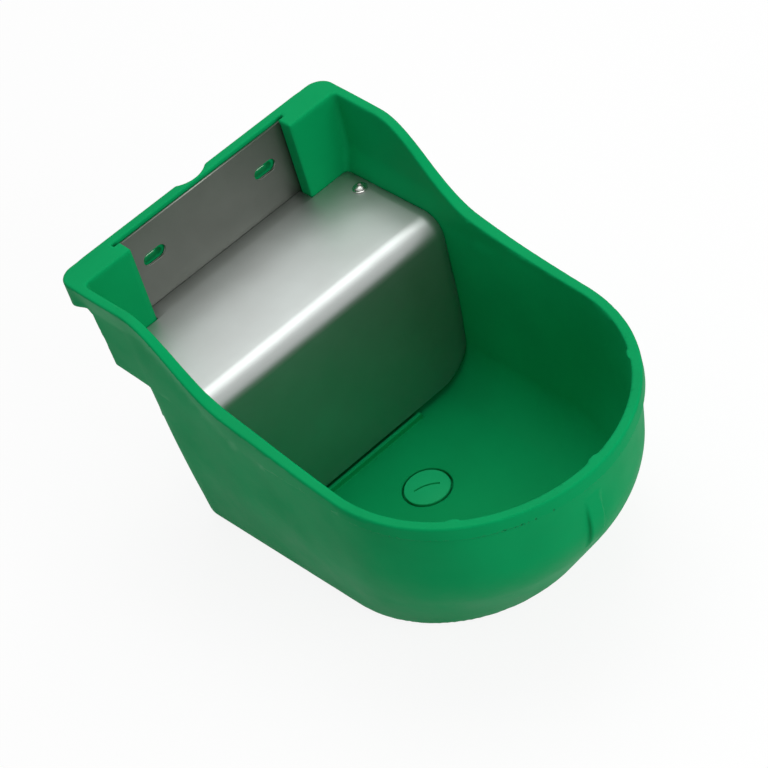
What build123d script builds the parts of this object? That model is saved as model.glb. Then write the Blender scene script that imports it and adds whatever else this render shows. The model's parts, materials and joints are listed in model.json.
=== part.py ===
"""Wall-mounted livestock drinking bowl with a float valve under a stainless cover.

Millimetres. The bowl stands on z = 0, +Y points at the wall behind it and +X is to the
right of somebody who faces that wall. The origin is the middle of the footprint.
"""
import os
from math import acos, atan2, cos, hypot, pi, radians, sin

from build123d import *

# ---- bowl shell: overall sizes
WIDTH = 260.0               # across the rim
DEPTH = 408.0               # wall face to front rim
HEIGHT = 240.0              # ground to the top of the back
RIM_WIDTH = 8.4             # flat on top of the rim
RIM_LIP = 1.2               # rim band stands this far out of the wall
RIM_BAND = 12.0             # height of that band
FRONT_RIM_Z = 160.8         # rim height at the very front
MID_RIM_Z = 166.0           # rim height where the round front ends
SWEEP_FOOT_Y = 36.6         # the rim starts to sweep up here
SWEEP_FOOT_Z = 180.5
SWEEP_HEAD_Y = 133.0        # and is level from here to the wall
SWEEP_KICK = 1.4            # the kink is this much steeper than a straight run up to it
BACK_CORNER_R = 18.0

# ---- bowl shell: walls and base
WALL = 6.2                  # side wall at the floor
FLOOR_Z = 13.0              # top of the floor
BASE_REACH = 129.6          # front wall at the ground, in front of the origin
BASE_FRONT_R = 111.0        # plan radius of the front at the ground
BASE_REAR_HALF = 115.3      # half width at the ground near the wall
BASE_EDGE_R = 12.0
CAVITY_FLOOR_R = 30.0       # inside, wall to floor
TUB_REAR_Y = 158.0          # outer face of the lower rear wall
TUB_CORNER_R = 22.0
LEDGE_Z = 153.0             # underside of the deeper upper part
SKIRT_DEPTH = 6.0           # hollow under the floor
SKIRT_INSET = 19.0          # wall foot round that hollow
UNDER_RIB = 4.0             # stiffening ribs in the hollow
UNDER_RIB_GROUND = 1.0      # their clearance from the ground

# ---- back of the bowl
PIER_FACE_Y = 178.4         # front of the two piers beside the back plate
PIER_WIDTH = 49.4           # from the side of the rim to a pier's inner edge
BACK_LIP = 31.0             # full-depth lip above the hollows behind the piers
PIER_WALL = 4.8
PIPE_GROOVE_WIDTH = 30.0    # supply pipe groove up the middle of the back
PIPE_GROOVE_DEPTH = 6.0
GUSSET = 4.0                # ribs under the ledge
GUSSET_FROM_SIDE = 20.0
GUSSET_DEPTH = 8.0
GUSSET_FOOT_Z = 97.0
NOSE_WIDTH = 14.0           # upright rib at the front
NOSE_FACE_Y = -198.6
NOSE_TOP_Z = 136.0
NOSE_FOOT_Z = 55.0
NOSE_ROUND_R = 60.0

# ---- back plate
PLATE_T = 2.0
PLATE_FRONT_Y = 192.6
PLATE_TUCK = 5.2            # hidden behind each pier
PLATE_TOP_DROP = 3.0        # below the rim
PLATE_FOOT_Z = 161.0
GROOVE_PLAY = 0.3
SLOT_X = 56.7               # wall fixing slots
SLOT_DROP = 32.5            # below the rim
SLOT_LENGTH = 21.4
SLOT_HEIGHT = 11.0

# ---- valve cover
COVER_T = 1.5
COVER_TOP_Z = 168.0
COVER_FRONT_Y = 72.6
COVER_BEND_R = 17.0
COVER_FOOT_Z = 19.7
COVER_PLAY = 0.6
COVER_CORNER_R = 36.0
COVER_CORNER_FROM_SIDE = 17.5
RIDGE_WIDTH = 4.0
RIDGE_HEIGHT = 5.0
RIDGE_RIGHT_X = 50.0
SCREW_FROM_SIDE = 21.5      # cover screws
SCREW_Y = 152.6
SCREW_R = 2.5
SCREW_LENGTH = 10.0
SCREW_HEAD_R = 5.0
SCREW_HEAD_H = 2.8
SCREW_WASHER_R = 6.2
SCREW_WASHER_T = 1.0
SCREW_BOSS_R = 8.0
INSERT_R = 3.8
INSERT_LENGTH = 9.0

# ---- drain plug
DRAIN_Y = 11.0
DRAIN_RECESS_R = 20.0
DRAIN_RECESS_DEPTH = 5.0
PLUG_CAP_R = 18.4
PLUG_CAP_EDGE = 3.0
PLUG_CROWN = 1.6
PLUG_BODY_R = 13.0
PLUG_WALL = 3.0
PLUG_PLAY = 0.1
PLUG_SLOT_LENGTH = 23.0
PLUG_SLOT_WIDTH = 2.0
PLUG_SLOT_DEPTH = 2.2
PLUG_SLOT_TURN = -30.0      # degrees, with the plug screwed home
PLUG_GROUND = 1.5           # plug end above the ground
ORING_WIRE = 2.2
DRAIN_BOSS_R = 22.0

# ---- inlet valve
INLET_Z = 130.0
TAIL_R = 10.48              # G1/2 pipe thread, outside radius
TAIL_BORE_R = 6.0
TAIL_END_Y = 192.0
TAIL_RELIEF_R = 9.4         # turned groove between locknut and pipe thread
TAIL_RELIEF = 1.5
INLET_PLAY = 0.3
INLET_BOSS_R = 19.0
INLET_BOSS_T = 4.0
FLANGE_R = 15.0
FLANGE_T = 4.0
GASKET_T = 2.0
GASKET_R = 16.0
LOCKNUT_AF = 27.0
LOCKNUT_T = 7.0
LOCK_WASHER_T = 1.5
BARREL_Y = 113.0            # axis of the upright barrel
BARREL_R = 11.0
BARREL_TOP_Z = 142.0
BARREL_FOOT_Z = 107.5
BARREL_EDGE = 2.0
BRIDGE_T = 4.0              # brass between the barrel and the lever's cheeks
CHAMBER_R = 6.5
CHAMBER_TOP_Z = 120.5
NOZZLE_R = 4.5
NOZZLE_COLLAR_T = 1.5
NOZZLE_TIP_R = 3.2
NOZZLE_TIP_H = 1.5
NOZZLE_BORE_R = 2.0
OUTLET_R = 3.0
OUTLET_Z = 117.0

# ---- plunger
PLUNGER_PLAY = 0.08
PLUNGER_TRAVEL = 3.1
PLUNGER_NOSE_R = 4.0        # round end that rides on the lever
PLUNGER_NOSE_H = 5.5
SHUT_GAP = 0.3
SEAL_R = 5.0
SEAL_T = 3.0
SEAL_PROUD = 0.5

# ---- float lever
PIVOT_X = -10.0
PIVOT_Z = 98.0
PIN_R = 2.05
PIN_PLAY = 0.05
PIN_HEAD_R = 3.6
PIN_HEAD_T = 1.8
PIN_TAIL = 5.4              # stands out of the far cheek
COTTER_R = 0.8
COTTER_FROM_CHEEK = 2.8
COTTER_LEG = 7.0
COTTER_EYE_R = 1.76
LEVER_T = 5.0
LEVER_WIDTH = 10.0
LEVER_EYE_R = 5.0
LEVER_TIP_X = 66.0
LEVER_TIP_R = 4.5
LEVER_HEEL_X = -21.0
CHEEK_T = 3.0
CHEEK_PLAY = 0.4
STOP_X = -18.5              # bridge that the heel comes up against
STOP_T = 4.0
CONTACT_GAP = 0.3
STEM_X = 58.0
STEM_R = 2.5
STEM_TOP_Z = 120.0
STEM_NUT_AF = 8.0
STEM_NUT_T = 4.0
FLOAT_LENGTH = 60.0
FLOAT_WIDTH = 56.0
FLOAT_HEIGHT = 42.0
FLOAT_TOP_Z = 84.0
FLOAT_EDGE_R = 9.0
FLOAT_BOSS_R = 7.0
FLOAT_BOSS_H = 4.0
STEM_SINK = 12.0            # stem held this deep in the float

BACK_Y = DEPTH / 2
HALF_WIDTH = WIDTH / 2
BEYOND = 50.0               # how far a cutting solid runs past what it cuts
PIER_INNER_X = HALF_WIDTH - PIER_WIDTH
PLATE_HALF = PIER_INNER_X + PLATE_TUCK
SCREW_X = HALF_WIDTH - SCREW_FROM_SIDE
GUSSET_X = HALF_WIDTH - GUSSET_FROM_SIDE
COVER_CORNER_HALF = HALF_WIDTH - COVER_CORNER_FROM_SIDE
SLOT_Z = HEIGHT - SLOT_DROP
PLATE_BACK_Y = PLATE_FRONT_Y + PLATE_T
TUB_INNER_Y = TUB_REAR_Y - WALL
SHELF_Z = LEDGE_Z + WALL
PLUNGER_R = CHAMBER_R - PLUNGER_PLAY
LOCKNUT_Y = TUB_REAR_Y + INLET_BOSS_T + LOCK_WASHER_T
LEVER_TOP_Z = PIVOT_Z + LEVER_T / 2
LEVER_FOOT_Z = PIVOT_Z - LEVER_T / 2


def slab(x0, x1, y0, y1, z0, z1):
    """Box between two corners."""
    return Pos((x0 + x1) / 2, (y0 + y1) / 2, (z0 + z1) / 2) * Box(x1 - x0, y1 - y0, z1 - z0)


def rod(radius, z0, z1, x=0.0, y=0.0):
    """Upright cylinder."""
    return Pos(x, y, (z0 + z1) / 2) * Cylinder(radius, z1 - z0)


def rod_y(radius, y0, y1, x=0.0, z=0.0):
    """Cylinder along Y."""
    return Pos(x, (y0 + y1) / 2, z) * Rot(90, 0, 0) * Cylinder(radius, y1 - y0)


def rod_x(radius, x0, x1, y=0.0, z=0.0):
    """Cylinder along X."""
    return Pos((x0 + x1) / 2, y, z) * Rot(0, 90, 0) * Cylinder(radius, x1 - x0)


def hex_prism(across_flats, height):
    """Hexagonal prism on the XY plane, flats square to Y."""
    return extrude(RegularPolygon(across_flats / 2, 6, major_radius=False), height)


# ---------------------------------------------------------------- bowl shell

def tombstone(z, rear_half, front_r, reach, rear_y, corner):
    """Plan outline of the bowl: round front, straight sides, square back with round corners.

    The sides are tangents to the round front and stand rear_half apart at the wall, wherever
    the back is, so outlines with different backs share their sides.
    """
    front_y = front_r - reach
    lean = atan2(BACK_Y - front_y, rear_half) - acos(front_r / hypot(rear_half, BACK_Y - front_y))
    side_front = (front_r * cos(lean), front_y + front_r * sin(lean))
    cy = rear_y - corner
    cx = (front_r - corner - (cy - front_y) * sin(lean)) / cos(lean)
    side_rear = (cx + corner * cos(lean), cy + corner * sin(lean))
    half_way = (lean + pi / 2) / 2
    corner_mid = (cx + corner * cos(half_way), cy + corner * sin(half_way))

    def left(point):
        return (-point[0], point[1])

    edges = [
        Line((-cx, rear_y), (cx, rear_y)),
        ThreePointArc((cx, rear_y), corner_mid, side_rear),
        Line(side_rear, side_front),
        ThreePointArc(side_front, (0, -reach), left(side_front)),
        Line(left(side_front), left(side_rear)),
        ThreePointArc(left(side_rear), left(corner_mid), (-cx, rear_y)),
    ]
    return (Pos(0, 0, z) * make_face(Curve() + edges)).face()


def front_swell(z):
    """0 at the ground and 1 at the front rim: the front wall's profile is a quarter wave."""
    return sin(pi / 2 * min(z / FRONT_RIM_Z, 1))


def wall_outline(z, inset, rear_y, corner):
    """Outer wall at height z, moved in by inset everywhere but at the back."""
    swell = front_swell(z)
    rim_half = HALF_WIDTH - RIM_LIP
    return tombstone(
        z,
        BASE_REAR_HALF + (rim_half - BASE_REAR_HALF) * z / HEIGHT - inset,
        BASE_FRONT_R + (rim_half - BASE_FRONT_R) * swell - inset,
        BASE_REACH + (BACK_Y - RIM_LIP - BASE_REACH) * swell - inset,
        rear_y,
        corner,
    )


def quarter_round(radius):
    """Rise and pull-in of outlines that round an edge off, from the flat upwards."""
    turns = [radians(30 * count) for count in range(4)]
    return [(radius * (1 - cos(turn)), radius * (1 - sin(turn))) for turn in turns]


def even_steps(low, high, count):
    """Heights from low to high, evenly spaced."""
    return [low + (high - low) * step / count for step in range(count + 1)]


def outer_body():
    """Solid with the outer form: a leaning tub under a deeper upper part."""
    rounded = [wall_outline(rise, pull, TUB_REAR_Y - pull, TUB_CORNER_R)
               for rise, pull in quarter_round(BASE_EDGE_R)]
    tub = [wall_outline(z, 0, TUB_REAR_Y, TUB_CORNER_R)
           for z in even_steps(BASE_EDGE_R, LEDGE_Z, 4)]
    upper = [wall_outline(z, 0, BACK_Y, TUB_CORNER_R) for z in even_steps(LEDGE_Z, HEIGHT, 3)]
    return loft(rounded) + loft(tub) + loft(upper)


def below_rim(drop):
    """Everything under the rim line, which sweeps up to the back; drop lowers that line."""
    past = BACK_Y + BEYOND
    foot, head = SWEEP_FOOT_Y, SWEEP_HEAD_Y
    front_y = HALF_WIDTH - BACK_Y
    slope = (MID_RIM_Z - FRONT_RIM_Z) / (front_y + BACK_Y)
    start = (-past, FRONT_RIM_Z - slope * BEYOND - drop)
    kink = (foot, SWEEP_FOOT_Z - drop)
    crest = (head, HEIGHT - drop)
    steepen = SWEEP_KICK * (SWEEP_FOOT_Z - MID_RIM_Z) / (foot - front_y)
    edges = [
        Polyline(crest, (past, HEIGHT - drop), (past, -BEYOND), (-past, -BEYOND), start),
        Spline(start, (front_y, MID_RIM_Z - drop), kink, tangents=[(1, slope), (1, steepen)]),
        Spline(kink, crest, tangents=[(1, steepen), (1, 0)]),
    ]
    return extrude(Plane.YZ * make_face(Curve() + edges), WIDTH, both=True)


def rim_prism():
    """Upright prism with the rim's outline."""
    return extrude(tombstone(0, HALF_WIDTH, HALF_WIDTH, BACK_Y, BACK_Y, BACK_CORNER_R), HEIGHT)


def cavity(gap=0.0):
    """The water space, or the same space made smaller all round by gap."""
    def outline(z, pull, rear_y, corner):
        thicken = (RIM_WIDTH - RIM_LIP - WALL) * min(z / FRONT_RIM_Z, 1)
        return wall_outline(z, WALL + thicken + pull + gap, rear_y - gap - pull, corner)

    rear = TUB_INNER_Y
    corner = TUB_CORNER_R - WALL
    rounded = [outline(FLOOR_Z + gap + rise, pull, rear, corner)
               for rise, pull in quarter_round(CAVITY_FLOOR_R)]
    shoulder = FLOOR_Z + gap + CAVITY_FLOOR_R
    tub = [outline(z, 0, rear, corner) for z in even_steps(shoulder, SHELF_Z + gap, 4)]
    upper = [outline(z, 0, PIER_FACE_Y, corner / 2)
             for z in even_steps(SHELF_Z + gap, HEIGHT + 1, 3)]
    return loft(rounded) + loft(tub) + loft(upper)


def plate_recess():
    """Space for the back plate: open at the top, its edges in a groove behind the piers."""
    recess = slab(-PIER_INNER_X, PIER_INNER_X, PIER_FACE_Y - 1, PLATE_BACK_Y, SHELF_Z,
                  HEIGHT + BEYOND)
    edge = PLATE_HALF + GROOVE_PLAY
    return recess + slab(-edge, edge, PLATE_FRONT_Y - GROOVE_PLAY, PLATE_BACK_Y,
                         PLATE_FOOT_Z - GROOVE_PLAY, HEIGHT + BEYOND)


def slot_cut(y0, y1, grow=0.0):
    """The two wall-fixing slots as cutting solids between two planes."""
    cut = Part()
    for side in (-1, 1):
        outline = SlotOverall(SLOT_LENGTH + 2 * grow, SLOT_HEIGHT + 2 * grow)
        face = Plane.XZ * Pos(side * SLOT_X, SLOT_Z) * outline
        cut += Pos(0, y1, 0) * extrude(face, y1 - y0)
    return cut


def back_hollows():
    """Hollows behind the piers, under the back lip, and the groove for the supply pipe."""
    inner = PLATE_HALF + GROOVE_PLAY + PIER_WALL
    hollows = Part()
    for side in (-1, 1):
        xs = sorted((side * inner, side * WIDTH))
        hollows += slab(xs[0], xs[1], PIER_FACE_Y + PIER_WALL, BACK_Y + BEYOND,
                        LEDGE_Z - BEYOND, HEIGHT - BACK_LIP)
    radius = ((PIPE_GROOVE_WIDTH / 2) ** 2 + PIPE_GROOVE_DEPTH ** 2) / (2 * PIPE_GROOVE_DEPTH)
    groove = rod(radius, LEDGE_Z - BEYOND, HEIGHT + BEYOND, y=BACK_Y - PIPE_GROOVE_DEPTH + radius)
    return hollows + groove


def front_nose():
    """Upright rib at the front, rounded where it runs back into the leaning wall."""
    rear = NOSE_FACE_Y + NOSE_ROUND_R
    edges = [
        Line((NOSE_FACE_Y, NOSE_TOP_Z), (NOSE_FACE_Y, NOSE_FOOT_Z + NOSE_ROUND_R)),
        RadiusArc((NOSE_FACE_Y, NOSE_FOOT_Z + NOSE_ROUND_R), (rear, NOSE_FOOT_Z), -NOSE_ROUND_R),
        Line((rear, NOSE_FOOT_Z), (rear, NOSE_TOP_Z)),
        Line((rear, NOSE_TOP_Z), (NOSE_FACE_Y, NOSE_TOP_Z)),
    ]
    return extrude(Plane.YZ * make_face(Curve() + edges), NOSE_WIDTH / 2, both=True)


def underside():
    """Hollow under the floor, round the drain boss and between two ribs each way."""
    outline = tombstone(0, BASE_REAR_HALF - SKIRT_INSET, BASE_FRONT_R - SKIRT_INSET,
                        BASE_REACH - SKIRT_INSET, TUB_REAR_Y - SKIRT_INSET, TUB_CORNER_R / 2)
    hollow = extrude(outline, SKIRT_DEPTH)
    hollow -= rod(DRAIN_BOSS_R, -1, SKIRT_DEPTH + 1, y=DRAIN_Y)
    for side in (-1, 1):
        middle = side * BASE_REAR_HALF / 3
        hollow -= slab(middle - UNDER_RIB / 2, middle + UNDER_RIB / 2, -DEPTH, DEPTH,
                       UNDER_RIB_GROUND, SKIRT_DEPTH + 1)
    return hollow


def bowl_shell():
    """Moulded bowl in one piece: tub, back wall, piers, rim band, bosses and floor."""
    body = outer_body() & below_rim(0)
    body += (rim_prism() & below_rim(0)) - below_rim(RIM_BAND)
    body -= back_hollows()
    body += front_nose()
    body += rod_y(INLET_BOSS_R, TUB_REAR_Y - WALL / 2, TUB_REAR_Y + INLET_BOSS_T, z=INLET_Z)
    for side in (-1, 1):
        x = side * GUSSET_X
        body += slab(x - GUSSET / 2, x + GUSSET / 2, TUB_REAR_Y - WALL / 2,
                     TUB_REAR_Y + GUSSET_DEPTH, GUSSET_FOOT_Z, LEDGE_Z + 1)
    body -= cavity()
    body -= plate_recess()
    body += slab(-BASE_REAR_HALF + WALL, RIDGE_RIGHT_X, COVER_FRONT_Y - CONTACT_GAP - RIDGE_WIDTH,
                 COVER_FRONT_Y - CONTACT_GAP, FLOOR_Z - 1, FLOOR_Z + RIDGE_HEIGHT)
    boss_top = COVER_TOP_Z - COVER_T
    for side in (-1, 1):
        body += rod(SCREW_BOSS_R, LEDGE_Z, boss_top, side * SCREW_X, SCREW_Y)
        body -= rod(INSERT_R, boss_top - INSERT_LENGTH, COVER_TOP_Z, side * SCREW_X, SCREW_Y)
    body -= slot_cut(PLATE_BACK_Y - 1, BACK_Y + 1)
    body -= rod_y(TAIL_R + INLET_PLAY, TUB_INNER_Y - 1, BACK_Y, z=INLET_Z)
    body -= underside()
    body -= rod(PLUG_BODY_R + PLUG_PLAY, -1, FLOOR_Z + 1, y=DRAIN_Y)
    body -= rod(DRAIN_RECESS_R, FLOOR_Z - DRAIN_RECESS_DEPTH, FLOOR_Z + 1, y=DRAIN_Y)
    return body


# ---------------------------------------------------------------- stainless sheet parts

def back_plate():
    """Flat stainless plate that spreads the pull of the wall bolts."""
    plate = slab(-PLATE_HALF, PLATE_HALF, PLATE_FRONT_Y, PLATE_BACK_Y, PLATE_FOOT_Z,
                 HEIGHT - PLATE_TOP_DROP)
    plate -= slot_cut(PLATE_FRONT_Y - 1, PLATE_BACK_Y + 1)
    return plate


def cover_profile():
    """Side view of the cover: a level top, one bend and an upright front."""
    rear = PLATE_FRONT_Y - CONTACT_GAP
    under = COVER_TOP_Z - COVER_T
    inside = COVER_FRONT_Y + COVER_T
    small_r = COVER_BEND_R - COVER_T
    edges = [
        Line((rear, COVER_TOP_Z), (COVER_FRONT_Y + COVER_BEND_R, COVER_TOP_Z)),
        RadiusArc((COVER_FRONT_Y + COVER_BEND_R, COVER_TOP_Z),
                  (COVER_FRONT_Y, COVER_TOP_Z - COVER_BEND_R), -COVER_BEND_R),
        Line((COVER_FRONT_Y, COVER_TOP_Z - COVER_BEND_R), (COVER_FRONT_Y, COVER_FOOT_Z)),
        Line((COVER_FRONT_Y, COVER_FOOT_Z), (inside, COVER_FOOT_Z)),
        Line((inside, COVER_FOOT_Z), (inside, under - small_r)),
        RadiusArc((inside, under - small_r), (inside + small_r, under), small_r),
        Line((inside + small_r, under), (rear, under)),
        Line((rear, under), (rear, COVER_TOP_Z)),
    ]
    return make_face(Curve() + edges)


def valve_cover():
    """Bent stainless sheet over the float valve, trimmed to the walls and the piers."""
    sheet = extrude(Plane.YZ * cover_profile(), HALF_WIDTH, both=True)
    sheet &= cavity(COVER_PLAY) + slab(-PIER_INNER_X + COVER_PLAY, PIER_INNER_X - COVER_PLAY,
                                       TUB_INNER_Y, PLATE_FRONT_Y, SHELF_Z, HEIGHT)
    for side in (-1, 1):
        corner = COVER_CORNER_HALF - COVER_CORNER_R
        below = COVER_FOOT_Z + COVER_CORNER_R
        xs = sorted((side * corner, side * HALF_WIDTH))
        trim = slab(xs[0], xs[1], COVER_FRONT_Y - 1, COVER_FRONT_Y + COVER_T + 1,
                    COVER_FOOT_Z - 1, below)
        trim -= rod_y(COVER_CORNER_R, COVER_FRONT_Y - 2, COVER_FRONT_Y + COVER_T + 2,
                      side * corner, below)
        sheet -= trim
        sheet -= rod(SCREW_R + COVER_PLAY / 2, SHELF_Z, COVER_TOP_Z + 1, side * SCREW_X, SCREW_Y)
    return sheet


def cover_screws():
    """Two pan-head screws."""
    screws = []
    for side in (-1, 1):
        seat = COVER_TOP_Z + SCREW_WASHER_T
        head = rod(SCREW_HEAD_R, seat, seat + SCREW_HEAD_H)
        head = fillet(head.edges().group_by(Axis.Z)[-1], SCREW_HEAD_H * 0.6)
        head -= Pos(0, 0, seat + SCREW_HEAD_H / 2) * hex_prism(SCREW_R * 1.2, SCREW_HEAD_H)
        screw = head + rod(SCREW_R, seat - SCREW_LENGTH, seat)
        screws.append(Pos(side * SCREW_X, SCREW_Y, 0) * screw)
    return Compound(children=screws)


def cover_screw_washers():
    """Plain washers under the screw heads."""
    washers = []
    for side in (-1, 1):
        washer = rod(SCREW_WASHER_R, COVER_TOP_Z, COVER_TOP_Z + SCREW_WASHER_T)
        washer -= rod(SCREW_R, COVER_TOP_Z - 1, COVER_TOP_Z + SCREW_WASHER_T + 1)
        washers.append(Pos(side * SCREW_X, SCREW_Y, 0) * washer)
    return Compound(children=washers)


def cover_screw_inserts():
    """Brass inserts moulded into the bosses."""
    inserts = []
    top = COVER_TOP_Z - COVER_T
    for side in (-1, 1):
        insert = rod(INSERT_R, top - INSERT_LENGTH, top)
        insert -= rod(SCREW_R, COVER_TOP_Z + SCREW_WASHER_T - SCREW_LENGTH, top + 1)
        inserts.append(Pos(side * SCREW_X, SCREW_Y, 0) * insert)
    return Compound(children=inserts)


# ---------------------------------------------------------------- drain

def drain_plug():
    """Screw plug with a domed cap and a coin slot."""
    seat = FLOOR_Z - DRAIN_RECESS_DEPTH + ORING_WIRE
    rim = seat + PLUG_CAP_EDGE
    dome_r = (PLUG_CAP_R ** 2 + PLUG_CROWN ** 2) / (2 * PLUG_CROWN)
    cap = rod(PLUG_CAP_R, seat, rim + PLUG_CROWN)
    cap &= Pos(0, 0, rim + PLUG_CROWN - dome_r) * Sphere(dome_r)
    body = cap + rod(PLUG_BODY_R, PLUG_GROUND, seat)
    body -= rod(PLUG_BODY_R - PLUG_WALL, PLUG_GROUND - 1, seat - 1)
    top = rim + PLUG_CROWN
    slot = extrude(SlotOverall(PLUG_SLOT_LENGTH, PLUG_SLOT_WIDTH), PLUG_SLOT_DEPTH * 2)
    body -= Pos(0, 0, top - PLUG_SLOT_DEPTH) * Rot(0, 0, PLUG_SLOT_TURN) * slot
    return Pos(0, DRAIN_Y, 0) * body


def drain_plug_oring():
    """Rubber ring squeezed under the cap."""
    seat = FLOOR_Z - DRAIN_RECESS_DEPTH
    ring = rod(PLUG_CAP_R - 1, seat, seat + ORING_WIRE, y=DRAIN_Y)
    ring -= rod(PLUG_BODY_R + PLUG_PLAY, seat - 1, seat + ORING_WIRE + 1, y=DRAIN_Y)
    rims = ring.edges().filter_by(GeomType.CIRCLE).group_by(SortBy.RADIUS)[-1]
    return fillet(rims, ORING_WIRE * 0.4)


# ---------------------------------------------------------------- inlet valve

def valve_body():
    """Brass elbow: threaded tail through the wall, flange, barrel, cheeks and lever stop."""
    flange_y = TUB_INNER_Y - GASKET_T
    body = rod_y(TAIL_R, flange_y, TAIL_END_Y, z=INLET_Z)
    body += rod_y(FLANGE_R, flange_y - FLANGE_T, flange_y, z=INLET_Z)
    body += rod_y(TAIL_R, BARREL_Y, flange_y, z=INLET_Z)
    barrel = rod(BARREL_R, BARREL_FOOT_Z, BARREL_TOP_Z, y=BARREL_Y)
    body += chamfer(barrel.edges().group_by(Axis.Z)[-1], BARREL_EDGE)
    bridge_top = BARREL_FOOT_Z + BRIDGE_T
    inner = LEVER_WIDTH / 2 + CHEEK_PLAY
    outer = inner + CHEEK_T
    left = STOP_X - STOP_T / 2
    right = PIVOT_X + LEVER_EYE_R + 1
    for side in (-1, 1):
        ys = sorted((BARREL_Y + side * inner, BARREL_Y + side * outer))
        body += slab(left, right, ys[0], ys[1], PIVOT_Z - LEVER_EYE_R - 1, bridge_top)
    body += slab(left, left + STOP_T, BARREL_Y - outer, BARREL_Y + outer,
                 LEVER_TOP_Z + CONTACT_GAP, bridge_top)
    body += slab(left, 0, BARREL_Y - outer, BARREL_Y + outer, BARREL_FOOT_Z, bridge_top)
    body -= rod_y(TAIL_BORE_R, BARREL_Y, TAIL_END_Y + 1, z=INLET_Z)
    body -= rod(NOZZLE_R, CHAMBER_TOP_Z - 1, INLET_Z, y=BARREL_Y)
    body -= rod(CHAMBER_R, BARREL_FOOT_Z - BEYOND, CHAMBER_TOP_Z, y=BARREL_Y)
    body -= rod_x(OUTLET_R, -BARREL_R - 1, BARREL_R + 1, BARREL_Y, OUTLET_Z)
    body -= rod_y(PIN_R, BARREL_Y - outer - 1, BARREL_Y + outer + 1, PIVOT_X, PIVOT_Z)
    relief_y = LOCKNUT_Y + LOCKNUT_T
    return body - ring_on_tail(TAIL_R + 1, relief_y, TAIL_RELIEF, TAIL_RELIEF_R)


def valve_nozzle():
    """Nozzle pressed into the barrel, with its orifice facing down."""
    tip_z = CHAMBER_TOP_Z - NOZZLE_COLLAR_T
    nozzle = rod(NOZZLE_R, CHAMBER_TOP_Z, INLET_Z - TAIL_BORE_R + 1)
    nozzle += rod(CHAMBER_R, tip_z, CHAMBER_TOP_Z)
    nozzle += rod(NOZZLE_TIP_R, tip_z - NOZZLE_TIP_H, tip_z)
    nozzle -= rod(NOZZLE_BORE_R, tip_z - NOZZLE_TIP_H - 1, INLET_Z)
    return Pos(0, BARREL_Y, 0) * nozzle


def plunger_top():
    """Height of the seal's face while the valve stands open."""
    return CHAMBER_TOP_Z - NOZZLE_COLLAR_T - NOZZLE_TIP_H - SHUT_GAP - PLUNGER_TRAVEL


def plunger():
    """Plunger with a round nose on the lever and a pocket for the seal."""
    top = plunger_top() - SEAL_PROUD
    foot = LEVER_TOP_Z + CONTACT_GAP
    body = rod(PLUNGER_R, foot + PLUNGER_NOSE_H, top)
    body += rod(PLUNGER_NOSE_R, foot + PLUNGER_NOSE_R, foot + PLUNGER_NOSE_H)
    body += Pos(0, 0, foot + PLUNGER_NOSE_R) * Sphere(PLUNGER_NOSE_R)
    body -= rod(SEAL_R, plunger_top() - SEAL_T, top + 1)
    return Pos(0, BARREL_Y, 0) * body


def plunger_seal():
    """Rubber disc that shuts the nozzle."""
    return rod(SEAL_R, plunger_top() - SEAL_T, plunger_top(), y=BARREL_Y)


def ring_on_tail(radius, y0, thickness, inner_r=TAIL_R):
    """Flat ring round the axis of the threaded tail."""
    ring = rod_y(radius, y0, y0 + thickness, z=INLET_Z)
    return ring - rod_y(inner_r, y0 - 1, y0 + thickness + 1, z=INLET_Z)


def inlet_gasket():
    """Rubber washer between the flange and the inside of the bowl."""
    return ring_on_tail(GASKET_R, TUB_INNER_Y - GASKET_T, GASKET_T)


def inlet_washer():
    """Steel washer on the boss outside."""
    return ring_on_tail(GASKET_R, TUB_REAR_Y + INLET_BOSS_T, LOCK_WASHER_T)


def inlet_locknut():
    """Hexagon nut that draws the valve against the wall."""
    rear_y = LOCKNUT_Y + LOCKNUT_T
    nut = Pos(0, rear_y, INLET_Z) * Rot(90, 0, 0) * hex_prism(LOCKNUT_AF, LOCKNUT_T)
    return nut - rod_y(TAIL_R, LOCKNUT_Y - 1, rear_y + 1, z=INLET_Z)


# ---------------------------------------------------------------- float and lever

def float_lever():
    """Lever: eye on the pin, flat arm under the plunger, hole for the float stem."""
    front, rear = BARREL_Y - LEVER_WIDTH / 2, BARREL_Y + LEVER_WIDTH / 2
    arm = slab(LEVER_HEEL_X, LEVER_TIP_X, front, rear, LEVER_FOOT_Z, LEVER_TOP_Z)
    arm = fillet(arm.edges().filter_by(Axis.Z).group_by(Axis.X)[-1], LEVER_TIP_R)
    eye = rod_y(LEVER_EYE_R, front, rear, PIVOT_X, PIVOT_Z)
    eye -= slab(PIVOT_X - 2 * LEVER_EYE_R, PIVOT_X + 2 * LEVER_EYE_R, 0, BACK_Y, LEVER_TOP_Z,
                HEIGHT)
    arm += eye
    arm -= rod_y(PIN_R + PIN_PLAY, 0, BACK_Y, PIVOT_X, PIVOT_Z)
    return arm - rod(STEM_R, 0, HEIGHT, STEM_X, BARREL_Y)


def pin_end_y(side):
    """Outer face of a cheek."""
    return BARREL_Y + side * (LEVER_WIDTH / 2 + CHEEK_PLAY + CHEEK_T)


def cotter_y():
    """Place of the split pin along the pivot pin."""
    return pin_end_y(1) + COTTER_FROM_CHEEK


def lever_pivot_pin():
    """Pin with a flat head, through both cheeks and the lever."""
    tail = pin_end_y(1) + PIN_TAIL
    pin = rod_y(PIN_R, pin_end_y(-1), tail, PIVOT_X, PIVOT_Z)
    pin += rod_y(PIN_HEAD_R, pin_end_y(-1) - PIN_HEAD_T, pin_end_y(-1), PIVOT_X, PIVOT_Z)
    return pin - rod(COTTER_R, PIVOT_Z - BEYOND, PIVOT_Z + BEYOND, PIVOT_X, cotter_y())


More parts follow.
